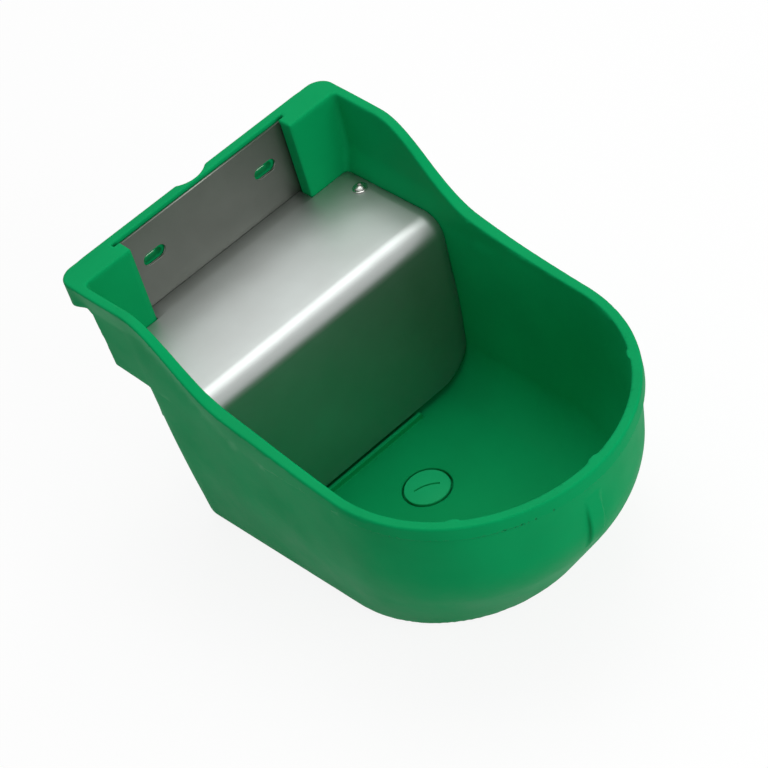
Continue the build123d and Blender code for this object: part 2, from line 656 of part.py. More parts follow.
def pivot_split_pin():
    """Split pin through the end of the pivot pin: a shank and a bent eye."""
    eye_foot = PIVOT_Z + PIN_R + COTTER_R
    shank = rod(COTTER_R, PIVOT_Z - COTTER_LEG, eye_foot + COTTER_R, PIVOT_X, cotter_y())
    eye = Pos(PIVOT_X, cotter_y(), eye_foot + COTTER_EYE_R) * Rot(0, 90, 0)
    return shank + eye * Torus(COTTER_EYE_R, COTTER_R)


def valve_float():
    """Closed float with a boss for its stem."""
    x0 = STEM_X - FLOAT_LENGTH / 2
    y0 = BARREL_Y - FLOAT_WIDTH / 2
    body = slab(x0, x0 + FLOAT_LENGTH, y0, y0 + FLOAT_WIDTH, FLOAT_TOP_Z - FLOAT_HEIGHT,
                FLOAT_TOP_Z)
    body = fillet(body.edges(), FLOAT_EDGE_R)
    body += rod(FLOAT_BOSS_R, FLOAT_TOP_Z - 1, FLOAT_TOP_Z + FLOAT_BOSS_H, STEM_X, BARREL_Y)
    return body - rod(STEM_R, FLOAT_TOP_Z - STEM_SINK, HEIGHT, STEM_X, BARREL_Y)


def float_stem():
    """Threaded stem between the lever and the float."""
    return rod(STEM_R, FLOAT_TOP_Z - STEM_SINK, STEM_TOP_Z, STEM_X, BARREL_Y)


def stem_locknuts():
    """Nuts above and below the lever that set the water level."""
    nut = hex_prism(STEM_NUT_AF, STEM_NUT_T) - rod(STEM_R, -1, STEM_NUT_T + 1)
    above = Pos(STEM_X, BARREL_Y, LEVER_TOP_Z) * nut
    below = Pos(STEM_X, BARREL_Y, LEVER_FOOT_Z - STEM_NUT_T) * nut
    return Compound(children=[above, below])


SUBPARTS = [
    bowl_shell, back_plate, valve_cover, cover_screws, cover_screw_washers, cover_screw_inserts,
    drain_plug, drain_plug_oring, valve_body, valve_nozzle, plunger, plunger_seal, inlet_gasket,
    inlet_washer, inlet_locknut, float_lever, lever_pivot_pin, pivot_split_pin, valve_float,
    float_stem, stem_locknuts,
]

os.makedirs("parts", exist_ok=True)
for make in SUBPARTS:
    export_step(make(), f"parts/{make.__name__}.step")
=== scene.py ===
"""Wall-hung livestock drinking bowl: meshes, finishes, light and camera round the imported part.

Lengths are millimetres, in the part's own frame, until a mesh or a lamp is made: MM turns them
into Blender's metres. +Y points at the wall behind the bowl and z = 0 is what it stands on.
"""
import json
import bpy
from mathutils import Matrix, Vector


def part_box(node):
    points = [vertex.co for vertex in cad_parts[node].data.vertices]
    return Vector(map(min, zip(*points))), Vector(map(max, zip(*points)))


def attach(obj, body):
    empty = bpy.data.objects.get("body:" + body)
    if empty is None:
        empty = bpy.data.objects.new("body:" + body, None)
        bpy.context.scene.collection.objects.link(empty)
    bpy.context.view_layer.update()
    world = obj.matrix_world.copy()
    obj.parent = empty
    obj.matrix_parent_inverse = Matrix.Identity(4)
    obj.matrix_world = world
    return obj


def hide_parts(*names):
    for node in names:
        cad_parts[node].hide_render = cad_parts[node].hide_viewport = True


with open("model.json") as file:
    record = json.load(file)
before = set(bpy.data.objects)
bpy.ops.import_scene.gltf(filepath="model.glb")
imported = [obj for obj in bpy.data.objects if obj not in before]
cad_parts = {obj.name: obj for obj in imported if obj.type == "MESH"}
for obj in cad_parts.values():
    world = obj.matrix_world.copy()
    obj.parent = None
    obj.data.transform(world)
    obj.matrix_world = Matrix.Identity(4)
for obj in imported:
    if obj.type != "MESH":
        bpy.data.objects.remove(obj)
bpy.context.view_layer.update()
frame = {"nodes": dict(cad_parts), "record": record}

from concurrent.futures import ThreadPoolExecutor
from math import cos, pi, radians, sin

import bmesh
import bpy
import numpy as np
import openvdb
from mathutils import Matrix, Vector

MM = 0.001


def node_box(node):
    """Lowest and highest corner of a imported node, in millimetres."""
    low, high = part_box(node)
    return Vector(low) / MM, Vector(high) / MM


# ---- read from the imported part
BOWL_LOW, BOWL_HIGH = node_box("bowl_shell")
PLATE_LOW, PLATE_HIGH = node_box("back_plate")
COVER_LOW, COVER_HIGH = node_box("valve_cover")
SCREWS_LOW, SCREWS_HIGH = node_box("cover_screws")
WASHERS_LOW, WASHERS_HIGH = node_box("cover_screw_washers")
PLUG_LOW, PLUG_HIGH = node_box("drain_plug")
NUT_LOW, NUT_HIGH = node_box("inlet_locknut")
TAIL_END_Y = node_box("valve_body")[1].y

HALF_WIDTH = BOWL_HIGH.x
BACK_Y = BOWL_HIGH.y
HEIGHT = BOWL_HIGH.z

# ---- bowl shell
RIM_WIDTH = 8.4             # flat on top of the rim
RIM_LIP = 1.2               # rim band stands this far out of the wall
RIM_BAND = 12.0             # height of the band at the front
BAND_FADE = 20.0            # along the sides it grows by this and leans into the wall
BAND_FADE_START_Y, BAND_FADE_END_Y = -70.0, 40.0
BAND_LEAN = 3.4
RIM_EDGE_R = 1.9
RIM_CORNER_R = 15.0
RIM_FLARE = 5.0             # the rim grows this much wider on each side towards the back
FLARE_START_Y = -20.0
FRONT_RIM_Z = 160.8
MID_RIM_Z = 166.0
SWEEP_FOOT_Y, SWEEP_FOOT_Z = 36.6, 180.5
SWEEP_HEAD_Y = 131.0
SWEEP_KICK = 1.4
SWEEP_PULL = (1.2, 1.0)
WALL = 6.2
FLOOR_Z = 13.0
BASE_REACH = 129.6
BASE_FRONT_R = 108.0
KNEE_Z, KNEE_SHARE = 82.0, 0.83     # height where the front wall turns upright, share of its lean
KNEE_SOFT = 0.18            # share of the lean over which it turns
BASE_REAR_HALF = 115.3
BASE_EDGE_R = 8.0
CAVITY_FLOOR_R = 30.0
TUB_REAR_Y = 158.0
TUB_CORNER_R = 22.0
LEDGE_Z = 153.0
SKIRT_DEPTH = 6.0
SKIRT_INSET = 19.0
UNDER_RIB = 4.0
PIER_FACE_Y = 178.4
PIER_WALL = 4.8
PIER_EDGE_R = 1.4
PIER_CORNER_R = 4.5
BACK_LIP_Z = HEIGHT - 25.0
PLATE_TUCK = 5.2
GROOVE_PLAY = 0.3
PLATE_GAP = 0.9             # open behind the plate
PIPE_GROOVE_R = 21.75
PIPE_GROOVE_DEPTH = 6.0
GUSSET, GUSSET_DEPTH, GUSSET_FOOT_Z = 4.0, 8.0, 97.0
GUSSET_X = HALF_WIDTH - 20.0
NOSE_WIDTH = 14.0
NOSE_FACE_Y = -198.6
NOSE_FOOT_Z, NOSE_TOP_Z = 55.0, 136.0
NOSE_ROUND_R = 60.0
NOSE_EDGE_R = 2.0
RIDGE_WIDTH, RIDGE_HEIGHT = 4.0, 5.0
RIDGE_RIGHT_X = 50.0
SCREW_BOSS_R = 8.0
INSERT_R, INSERT_LENGTH = 3.8, 9.0
INLET_Z = (NUT_LOW.z + NUT_HIGH.z) / 2
INLET_BOSS_R, INLET_BOSS_T = 19.0, 4.0
INLET_HOLE_R = 10.78
DRAIN_Y = (PLUG_LOW.y + PLUG_HIGH.y) / 2
DRAIN_RECESS_R, DRAIN_RECESS_DEPTH = 20.0, 5.0
DRAIN_HOLE_R = 13.1
DRAIN_BOSS_R = 22.0
SLOT_X, SLOT_Z = 56.7, HEIGHT - 32.5
SLOT_LENGTH, SLOT_HEIGHT = 21.4, 11.0
WALL_SLOT_HEIGHT = 6.2      # in the moulding behind, near the foot of the plate's slot
MOULD_MARKS_X = (-89.0, 10.0, 98.0)     # ejector marks on the inner edge of the front rim
MOULD_MARK = Vector((5.0, 1.5, 1.1))
MOULD_MARK_SINK = 1.0
WALL_SLOT_RISE = 0.4
SHARP = 0.5                 # least rounding that a moulding has
BOSS_FILLET, FILLET, SMALL_FILLET = 1.5, 1.0, 0.8
RECESS_EDGE_R, GROOVE_EDGE_R, BORE_EDGE_R = 0.9, 0.2, 0.1
DRAIN_HOLE_EDGE_R = 0.3

# ---- sheet metal, screws and plug
COVER_T = 1.5
COVER_BEND_R = 17.0
COVER_PLAY = 0.6
COVER_CORNER_R = 36.0
COVER_CORNER_HALF = HALF_WIDTH - 17.5
WING_LEAST = 3.0            # least width of the cover beside its tongue
SHEET_EDGE = 0.3
PLATE_EDGE = 0.25
SCREW_R, SCREW_HEAD_R, SCREW_HEAD_SIDE = 2.5, 5.0, 0.5
SCREW_POINT = 0.6
SOCKET_AF, SOCKET_DEPTH, SOCKET_TURN = 3.0, 1.5, 12.0
WASHER_R = 6.2
PLUG_CAP_R, PLUG_CROWN, PLUG_CAP_SIDE = 18.4, 1.6, 3.0
PLUG_CAP_EDGE_R = 1.0
PLUG_ROOT_R, PLUG_THREAD_R, PLUG_PITCH, PLUG_WALL = 12.75, 13.0, 3.0, 3.0
COIN_SLOT_R, COIN_SLOT_HALF, COIN_SLOT_DEPTH = 34.0, 10.6, 2.0  # its curve and half its length
COIN_SLOT_SIDE = 0.8        # half its width
COIN_SLOT_TURN = -30.0
NUT_BORE_R, NUT_CHAMFER = 10.5, 1.7
TAIL_ROOT_R, TAIL_CREST_R, TAIL_PITCH = 10.3, 10.75, 1.814      # G 1/2 has 14 threads an inch
TAIL_RELIEF = 1.5           # plain groove between the nut and the thread

# ---- worked out from the values above
RIM_HALF = HALF_WIDTH - RIM_LIP
SHELF_Z = LEDGE_Z + WALL
TUB_INNER_Y = TUB_REAR_Y - WALL
PIER_INNER_X = PLATE_HIGH.x - PLATE_TUCK
SCREW_X = (WASHERS_HIGH.x - WASHERS_LOW.x) / 2 - WASHER_R
SCREW_Y = (WASHERS_LOW.y + WASHERS_HIGH.y) / 2


# ------------------------------------------------------------------ camera

CAMERA_PLACE = Vector((-872.3, -1447.9, 1685.9))
CAMERA_AZIMUTH = 30.628     # degrees right of +Y
CAMERA_DIP = 42.504
CAMERA_ROLL = -17.805
LENS = 146.68


def add_camera():
    """Camera above the front left of the bowl, rolled so that the bowl lies across the picture."""
    az, dip, roll = radians(CAMERA_AZIMUTH), radians(CAMERA_DIP), radians(CAMERA_ROLL)
    ahead = Vector((sin(az) * cos(dip), cos(az) * cos(dip), -sin(dip)))
    level = Vector((cos(az), -sin(az), 0))
    above = level.cross(ahead)
    right = level * cos(roll) + above * sin(roll)
    up = above * cos(roll) - level * sin(roll)
    camera = bpy.data.objects.new("camera", bpy.data.cameras.new("camera"))
    camera.data.lens = LENS
    camera.data.sensor_width = 36.0
    turn = Matrix((right, up, -ahead)).transposed().to_4x4()
    camera.matrix_world = Matrix.Translation(CAMERA_PLACE * MM) @ turn
    bpy.context.scene.collection.objects.link(camera)
    bpy.context.scene.camera = camera


# ------------------------------------------------------------------ distance fields
# A field is negative inside the material and grows by one a millimetre on the way out.

FAR = 1e9                   # farther than anything in the part
BOWL_STEP, QUICK_STEP = 1.1, 2.4        # spacing of the samples that the moulding is meshed from
BOWL_FLATNESS = 0.05
SLOPE_STEP, NORMAL_STEP = 0.05, 0.25    # half the run over which a slope is taken
LEAST_SLOPE = 0.5


def both(a, b, r=SHARP):
    """Where two solids overlap, the edge between them rounded to radius r."""
    corner = np.hypot(np.maximum(r + a, 0), np.maximum(r + b, 0))
    return np.minimum(-r, np.maximum(a, b)) + corner


def either(a, b, r=SHARP):
    """Two solids joined, the inner corner between them filled to radius r."""
    return -both(-a, -b, r)


def without(a, b, r=SHARP):
    """The first solid with the second cut out of it."""
    return both(a, -b, r)


def block(x, y, z, low, high, r=SHARP):
    """Box between two corners with rounded edges."""
    inside, outside = -FAR, 0.0
    for place, a, b in zip((x, y, z), low, high):
        past = np.abs(place - (a + b) / 2) - (b - a) / 2 + r
        inside = np.maximum(inside, past)
        outside = outside + np.maximum(past, 0) ** 2
    return np.sqrt(outside) + np.minimum(inside, 0) - r


def between(place, low, high):
    """Slab between two parallel planes."""
    return np.maximum(low - place, place - high)


def drum(across, up, along, radius, low, high, r=SHARP):
    """Cylinder: across and up are measured from its axis."""
    return both(np.hypot(across, up) - radius, between(along, low, high), r)


def ease(t):
    """0 to 1 with a soft start and a soft end."""
    t = np.clip(t, 0, 1)
    return t * t * (3 - 2 * t)


def side_lean(front_r, reach, rear_half):
    """Centre of the round front, and the angle by which the straight sides lean outwards."""
    centre_y = front_r - reach
    depth = BACK_Y - centre_y
    lean = np.arctan2(depth, rear_half) - np.arccos(front_r / np.hypot(rear_half, depth))
    return centre_y, lean


def tombstone(x, y, front_r, reach, rear_half):
    """Plan outline without its back: round front, and sides that touch it and lean outwards."""
    centre_y, lean = side_lean(front_r, reach, rear_half)
    out_x, out_y = np.cos(lean), np.sin(lean)
    side, ahead = np.abs(x), y - centre_y
    straight = out_x * side + out_y * ahead
    return np.where(out_x * ahead > out_y * side, straight, np.hypot(side, ahead)) - front_r


def wall_sizes(z, inset):
    """Front radius, reach and rear half width of the wall at height z, moved in by inset."""
    height = np.clip(z, 0, FRONT_RIM_Z)
    foot = KNEE_SHARE * height / KNEE_Z
    upright = 1 - (1 - KNEE_SHARE) * (FRONT_RIM_Z - height) / (FRONT_RIM_Z - KNEE_Z)
    blend = np.clip(0.5 + (upright - foot) / (2 * KNEE_SOFT), 0, 1)
    swell = upright + (foot - upright) * blend - KNEE_SOFT * blend * (1 - blend)
    return (BASE_FRONT_R + (RIM_HALF - BASE_FRONT_R) * swell - inset,
            BASE_REACH + (BACK_Y - RIM_LIP - BASE_REACH) * swell - inset,
            BASE_REAR_HALF + (RIM_HALF - BASE_REAR_HALF) * z / HEIGHT - inset)


def inner_inset(z):
    """Wall thickness at height z: it grows a little towards the rim."""
    return WALL + (RIM_WIDTH - RIM_LIP - WALL) * np.clip(z / FRONT_RIM_Z, 0, 1)


def cubic(start, end, start_slope, end_slope, pull=(1, 1), count=200):
    """Points of a curve between two points of the side view, pulled along a slope at each."""
    t = np.linspace(0, 1, count)
    run = end - start
    leave = Vector((1, start_slope)).normalized() * run.length * pull[0]
    arrive = Vector((1, end_slope)).normalized() * run.length * pull[1]
    blend = 3 * t ** 2 - 2 * t ** 3
    return [start[i] + run[i] * blend + leave[i] * (t - 2 * t ** 2 + t ** 3)
            + arrive[i] * (t ** 3 - t ** 2) for i in range(2)]


def rim_line():
    """Side view of the rim: almost level in front, then swept up to the back."""
    middle = Vector((HALF_WIDTH - BACK_Y, MID_RIM_Z))
    kink = Vector((SWEEP_FOOT_Y, SWEEP_FOOT_Z))
    slope = (MID_RIM_Z - FRONT_RIM_Z) / (middle.x + BACK_Y)
    kick = SWEEP_KICK * (kink.y - middle.y) / (kink.x - middle.x)
    start = Vector((-BACK_Y - WALL, FRONT_RIM_Z - slope * WALL))
    parts = [cubic(start, middle, slope, 2 * slope), cubic(middle, kink, 2 * slope, kick),
             cubic(kink, Vector((SWEEP_HEAD_Y, HEIGHT)), kick, 0, SWEEP_PULL),
             ([2 * BACK_Y], [HEIGHT])]
    return [np.concatenate([part[i] for part in parts]) for i in range(2)]


RIM_LINE = rim_line()


def rim_height(y):
    """Height of the rim at y."""
    return np.interp(y, *RIM_LINE)


def outer_form(x, y, z):
    """Tub, deeper upper part and rim band, without anything cut out."""
    plan = tombstone(x, y, *wall_sizes(z, 0))
    upper = both(both(plan, y - BACK_Y, TUB_CORNER_R), LEDGE_Z - z)
    form = either(both(plan, y - TUB_REAR_Y, TUB_CORNER_R), upper)
    form = both(form, -z, BASE_EDGE_R)

    top = rim_height(y)
    steep = rim_height(y + 0.5) - rim_height(y - 0.5)
    above_rim = (z - top) / np.hypot(1, steep)
    fade = ease((y - BAND_FADE_START_Y) / (BAND_FADE_END_Y - BAND_FADE_START_Y))
    height = RIM_BAND + BAND_FADE * fade
    upright = ease((y - PIER_FACE_Y) / (BACK_Y - PIER_FACE_Y - PIER_WALL))
    height = height - (RIM_BAND + BAND_FADE - HEIGHT + BACK_LIP_Z) * upright
    lean = (BAND_LEAN + flare(y)) * fade * (1 - upright) * np.clip((top - z) / height, 0, 1)
    plan = tombstone(x, y, HALF_WIDTH, BACK_Y, HALF_WIDTH) - flare(y) + lean
    band = both(plan, y - BACK_Y, RIM_CORNER_R)
    band = both(band, top - height - z)
    return both(either(form, band), above_rim, RIM_EDGE_R)


def flare(y):
    """How far the rim leans out beyond its front width at y."""
    return RIM_FLARE * ease((y - FLARE_START_Y) / (PIER_FACE_Y - FLARE_START_Y))


def water_space(x, y, z):
    """Everything open above: the water space and the recess for the back plate."""
    plan = tombstone(x, y, *wall_sizes(z, inner_inset(z)))
    plan = plan - flare(y) * ease((z - COVER_HIGH.z) / (HEIGHT - BACK_LIP_Z))
    tub = both(both(plan, y - TUB_INNER_Y, TUB_CORNER_R - WALL), FLOOR_Z - z, CAVITY_FLOOR_R)
    upper = both(both(plan, y - PIER_FACE_Y, PIER_CORNER_R), SHELF_Z - z)
    space = either(tub, upper)
    far = 2 * HEIGHT
    recess = block(x, y, z, (-PIER_INNER_X, PIER_FACE_Y - WALL, SHELF_Z),
                   (PIER_INNER_X, PLATE_HIGH.y + PLATE_GAP, far))
    edge = PLATE_HIGH.x + GROOVE_PLAY
    groove = block(x, y, z, (-edge, PLATE_LOW.y - GROOVE_PLAY, PLATE_LOW.z - GROOVE_PLAY),
                   (edge, PLATE_HIGH.y + PLATE_GAP, far), GROOVE_EDGE_R)
    return either(either(space, recess, PIER_EDGE_R), groove, GROOVE_EDGE_R)


def back_cuts(x, y, z):
    """Hollows behind the piers, groove for the supply pipe and slots for the wall bolts."""
    inner = PLATE_HIGH.x + GROOVE_PLAY + PIER_WALL
    hollows = both(both(inner - np.abs(x), PIER_FACE_Y + PIER_WALL - y), z - BACK_LIP_Z)
    pipe = np.hypot(x, y - (BACK_Y - PIPE_GROOVE_DEPTH + PIPE_GROOVE_R)) - PIPE_GROOVE_R
    along = np.maximum(np.abs(np.abs(x) - SLOT_X) - (SLOT_LENGTH - SLOT_HEIGHT) / 2, 0)
    drop = (SLOT_HEIGHT - WALL_SLOT_HEIGHT) / 2 - WALL_SLOT_RISE
    slots = np.hypot(along, z - SLOT_Z + drop) - WALL_SLOT_HEIGHT / 2
    slots = np.maximum(slots, PIER_FACE_Y - y)
    return np.minimum(np.minimum(hollows, pipe + 0 * z), slots)


def underside(x, y, z):
    """Shallow hollow under the floor, clear of the drain boss and the two ribs."""
    sizes = (BASE_FRONT_R - SKIRT_INSET, BASE_REACH - SKIRT_INSET, BASE_REAR_HALF - SKIRT_INSET)
    hollow = both(tombstone(x, y, *sizes), y - (TUB_REAR_Y - SKIRT_INSET), TUB_CORNER_R / 2)
    hollow = both(hollow, z - SKIRT_DEPTH)
    rib = np.abs(np.abs(x) - BASE_REAR_HALF / 3) - UNDER_RIB / 2
    return without(without(hollow, np.hypot(x, y - DRAIN_Y) - DRAIN_BOSS_R), rib + 0 * y)


def nose(x, y, z):
    """Upright rib at the front that runs back into the leaning wall."""
    profile = both(NOSE_FACE_Y - y, NOSE_FOOT_Z - z, NOSE_ROUND_R)
    profile = both(profile, z - NOSE_TOP_Z, NOSE_EDGE_R)
    profile = np.maximum(profile, y - NOSE_FACE_Y - 2 * NOSE_ROUND_R)
    return both(profile, np.abs(x) - NOSE_WIDTH / 2, NOSE_EDGE_R)


def mould_marks(x, y, z):
    """Three small swellings on the inner edge of the front rim."""
    centre_y = HALF_WIDTH - BACK_Y
    inner_r = HALF_WIDTH - RIM_WIDTH
    marks = FAR
    for mark_x in MOULD_MARKS_X:
        mark_y = centre_y - (inner_r ** 2 - mark_x ** 2) ** 0.5
        out = Vector((mark_x, mark_y - centre_y)) / inner_r
        dx, dy = x - mark_x, y - mark_y
        along = (dx * out.y - dy * out.x) / MOULD_MARK.x
        across = (dx * out.x + dy * out.y) / MOULD_MARK.y
        rise = (z - rim_height(np.float64(mark_y)) + MOULD_MARK_SINK) / MOULD_MARK.z
        size = np.sqrt(along ** 2 + across ** 2 + rise ** 2)
        marks = np.minimum(marks, (size - 1) * MOULD_MARK.z)
    return marks


def bowl_field(x, y, z):
    """The whole moulding."""
    side = np.abs(x)
    body = outer_form(x, y, z)
    body = either(body, nose(x, y, z), BOSS_FILLET)
    body = either(body, drum(x, z - INLET_Z, y, INLET_BOSS_R, TUB_INNER_Y,
                             TUB_REAR_Y + INLET_BOSS_T), BOSS_FILLET)
    gusset_low = (GUSSET_X - GUSSET / 2, TUB_INNER_Y, GUSSET_FOOT_Z)
    gusset_high = (GUSSET_X + GUSSET / 2, TUB_REAR_Y + GUSSET_DEPTH, LEDGE_Z + 2 * FILLET)
    body = either(body, block(side, y, z, gusset_low, gusset_high), FILLET)
    body = without(body, back_cuts(x, y, z), FILLET)
    body = without(body, water_space(x, y, z), RIM_EDGE_R)
    body = either(body, mould_marks(x, y, z), SMALL_FILLET)

    cover_back = COVER_LOW.y - GROOVE_PLAY
    ridge_low = (-BASE_REAR_HALF + WALL, cover_back - RIDGE_WIDTH, 0)
    ridge_high = (RIDGE_RIGHT_X, cover_back, FLOOR_Z + RIDGE_HEIGHT)
    body = either(body, block(x, y, z, ridge_low, ridge_high, RECESS_EDGE_R), SMALL_FILLET)

    boss_top = WASHERS_LOW.z - COVER_T
    body = either(body, drum(side - SCREW_X, y - SCREW_Y, z, SCREW_BOSS_R, LEDGE_Z, boss_top),
                  FILLET)
    body = without(body, drum(side - SCREW_X, y - SCREW_Y, z, INSERT_R, boss_top - INSERT_LENGTH,
                              WASHERS_HIGH.z, BORE_EDGE_R), GROOVE_EDGE_R)
    body = without(body, drum(x, z - INLET_Z, y, INLET_HOLE_R, TUB_INNER_Y - WALL,
                              BACK_Y - PIPE_GROOVE_DEPTH))
    body = without(body, drum(x, y - DRAIN_Y, z, DRAIN_RECESS_R, FLOOR_Z - DRAIN_RECESS_DEPTH,
                              FLOOR_Z + 2 * WALL), RECESS_EDGE_R)
    body = without(body, underside(x, y, z))
    return without(body, np.hypot(x, y - DRAIN_Y) - DRAIN_HOLE_R + 0 * z, DRAIN_HOLE_EDGE_R)


def sampled(field, x, y, z, batch=1 << 17):
    """Field at a long list of points, worked out in batches side by side."""
    cuts = [slice(first, first + batch) for first in range(0, len(x), batch)]
    with ThreadPoolExecutor(4) as pool:
        parts = list(pool.map(lambda cut: field(x[cut], y[cut], z[cut]), cuts))
    return np.concatenate(parts)


def slope_of(field, points, step):
    """Gradient of a field at each point."""
    slope = np.empty_like(points)
    for axis in range(3):
        shift = np.zeros(3)
        shift[axis] = step
        ahead, behind = sampled(field, *(points + shift).T), sampled(field, *(points - shift).T)
        slope[:, axis] = (ahead - behind) / (2 * step)
    return slope


def field_grid(field, low, high, step, block_size=8):
    """Samples of a field on a grid; blocks far from the skin get one value each."""
    blocks = [int(np.ceil((b - a) / (step * block_size))) for a, b in zip(low, high)]
    middles = [a + step * block_size * (np.arange(n) + 0.5) for a, n in zip(low, blocks)]
    coarse = sampled(field, *[m.ravel() for m in np.meshgrid(*middles, indexing="ij")])
    coarse = coarse.reshape(blocks)
    near = np.abs(coarse) < step * (block_size + 3)
    grid, close = coarse.astype(np.float32), near
    for axis in range(3):
        grid, close = grid.repeat(block_size, axis), close.repeat(block_size, axis)
    index = np.nonzero(close)
    place = [a + step * i.astype(np.float64) for a, i in zip(low, index)]
    grid[index] = sampled(field, *place)
    return grid


def mesh_from_field(name, field, low, high, step, flatness):
    """Mesh of a field's skin, its points pulled onto the skin, and its normals from the field."""
    reach = 3 * step
    volume = openvdb.FloatGrid(reach)
    volume.copyFromArray(np.clip(field_grid(field, low, high, step), -reach, reach))
    points, triangles, quads = volume.convertToPolygons(0.0, flatness)
    points = points.astype(np.float64) * step + np.array(low)
    slope = slope_of(field, points, SLOPE_STEP)
    slope /= np.maximum((slope ** 2).sum(1), LEAST_SLOPE ** 2)[:, None]
    for _ in range(2):
        off = np.clip(sampled(field, *points.T), -step / 2, step / 2)
        points -= off[:, None] * slope
    normals = slope_of(field, points, NORMAL_STEP)
    normals /= np.maximum(np.linalg.norm(normals, axis=1), 1 / FAR)[:, None]
    mesh = bpy.data.meshes.new(name)
    mesh.from_pydata((points * MM).tolist(), [], quads.tolist() + triangles.tolist())
    if signed_volume(mesh) < 0:
        mesh.flip_normals()
    mesh.shade_smooth()
    mesh.normals_split_custom_set_from_vertices(normals.tolist())
    return mesh


def signed_volume(mesh):
    """Positive when the faces of a closed mesh point outwards."""
    volume = 0.0
    for face in mesh.polygons:
        volume += face.center.dot(face.normal) * face.area / 3
    return volume


# ------------------------------------------------------------------ finishes

def linear(hex_code):
    """Linear colour of an sRGB hex value."""
    shares = [int(hex_code[i:i + 2], 16) / 255 for i in (1, 3, 5)]
    return [c / 12.92 if c <= 0.04045 else ((c + 0.055) / 1.055) ** 2.4 for c in shares] + [1.0]


def per_metre(size):
    """Texture scale that repeats once in a length given in millimetres."""
    return 1 / (size * MM)


def node(tree, kind, inputs=(), **settings):
    """Adds a node; inputs are values, or outputs to link, by socket name or number."""
    added = tree.nodes.new(kind)
    for name, value in settings.items():
        setattr(added, name, value)
    for name, value in dict(inputs).items():
        if isinstance(value, bpy.types.NodeSocket):
            tree.links.new(value, added.inputs[name])
        else:
            added.inputs[name].default_value = value
    return added


def finish(name, metallic, ior=None, gloss=0.5):
    """Empty material with a Principled shader; returns it, its tree, shader and coordinates."""
    material = bpy.data.materials.new(name)
    material.use_nodes = True
    tree = material.node_tree
    shader = tree.nodes["Principled BSDF"]
    shader.inputs["Metallic"].default_value = metallic
    shader.inputs["Specular IOR Level"].default_value = gloss
    if ior:
        shader.inputs["IOR"].default_value = ior
    place = node(tree, "ShaderNodeTexCoord").outputs["Object"]
    return material, tree, shader, place


def two_tones(tree, place, size, first, second, low=0.35, high=0.65, detail=3.0):
    """Cloudy mix of two colours with patches of a real size."""
    clouds = node(tree, "ShaderNodeTexNoise", {"Vector": place, "Scale": per_metre(size),
                                               "Detail": detail})
    ramp = node(tree, "ShaderNodeValToRGB", {"Fac": clouds.outputs["Fac"]})
    ends = ramp.color_ramp.elements
    ends[0].position, ends[0].color = low, linear(first)
    ends[1].position, ends[1].color = high, linear(second)
    return ramp.outputs["Color"]


def surface(tree, shader, value, rough, height, depth, usual=(0.3, 0.7)):
    """Roughness that follows a texture's value, and a bump of a depth in millimetres."""
    gloss = node(tree, "ShaderNodeMapRange", {"Value": value, "From Min": usual[0],
                                              "From Max": usual[1], "To Min": rough[0],
                                              "To Max": rough[1]})
    tree.links.new(gloss.outputs["Result"], shader.inputs["Roughness"])
    bump = node(tree, "ShaderNodeBump", {"Height": height, "Strength": 1.0,
                                         "Distance": depth * MM})
    tree.links.new(bump.outputs["Normal"], shader.inputs["Normal"])


def moulded(name, dark, light, roughness):
    """Injection-moulded polyethylene: even satin gloss over a slight orange peel.

    The colour clouds a little where the melt cooled unevenly, and handling has rubbed the gloss
    in long patches.
    """
    material, tree, shader, place = finish(name, 0.0, ior=1.51, gloss=0.03)
    tree.links.new(two_tones(tree, place, 60, dark, light), shader.inputs["Base Color"])
    rubbed = node(tree, "ShaderNodeTexNoise", {"Vector": place, "Scale": per_metre(35),
                                               "Detail": 5.0, "Roughness": 0.6})
    peel = node(tree, "ShaderNodeTexNoise", {"Vector": place, "Scale": per_metre(2.2),
                                             "Detail": 2.0})
    waves = node(tree, "ShaderNodeTexNoise", {"Vector": place, "Scale": per_metre(28),
                                              "Detail": 1.0})
    height = node(tree, "ShaderNodeMath", {0: waves.outputs["Fac"], 1: 4.0,
                                           2: peel.outputs["Fac"]}, operation="MULTIPLY_ADD")
    surface(tree, shader, rubbed.outputs["Fac"], (roughness - 0.04, roughness + 0.06),
            height.outputs[0], 0.02)
    return material


def rolled_steel(name, dark, light, roughness, grain=(40, 0.7, 0.7)):
    """Cold-rolled stainless sheet: soft mirror, with fine lines along the way it was rolled."""
    material, tree, shader, place = finish(name, 1.0)
    tree.links.new(two_tones(tree, place, 30, dark, light, 0.3, 0.7), shader.inputs["Base Color"])
    scale = node(tree, "ShaderNodeMapping", {"Vector": place,
                                             "Scale": [per_metre(size) for size in grain]})
    lines = node(tree, "ShaderNodeTexNoise", {"Vector": scale.outputs["Vector"], "Scale": 1.0,
                                              "Detail": 4.0, "Roughness": 0.65})
    smears = node(tree, "ShaderNodeTexNoise", {"Vector": place, "Scale": per_metre(25),
                                               "Detail": 4.0})
    blend = node(tree, "ShaderNodeMath", {0: lines.outputs["Fac"], 1: smears.outputs["Fac"]},
                 operation="ADD")
    surface(tree, shader, blend.outputs[0], (roughness - 0.02, roughness + 0.03),
            lines.outputs["Fac"], 0.006, usual=(0.7, 1.3))
    return material


def turned_metal(name, dark, light, roughness):
    """Turned metal: fine tool marks and a little tarnish in patches."""
    material, tree, shader, place = finish(name, 1.0)
    tree.links.new(two_tones(tree, place, 9, dark, light), shader.inputs["Base Color"])
    marks = node(tree, "ShaderNodeTexNoise", {"Vector": place, "Scale": per_metre(0.25),
                                              "Detail": 3.0})
    surface(tree, shader, marks.outputs["Fac"], (roughness - 0.05, roughness + 0.08),
            marks.outputs["Fac"], 0.006)
    return material


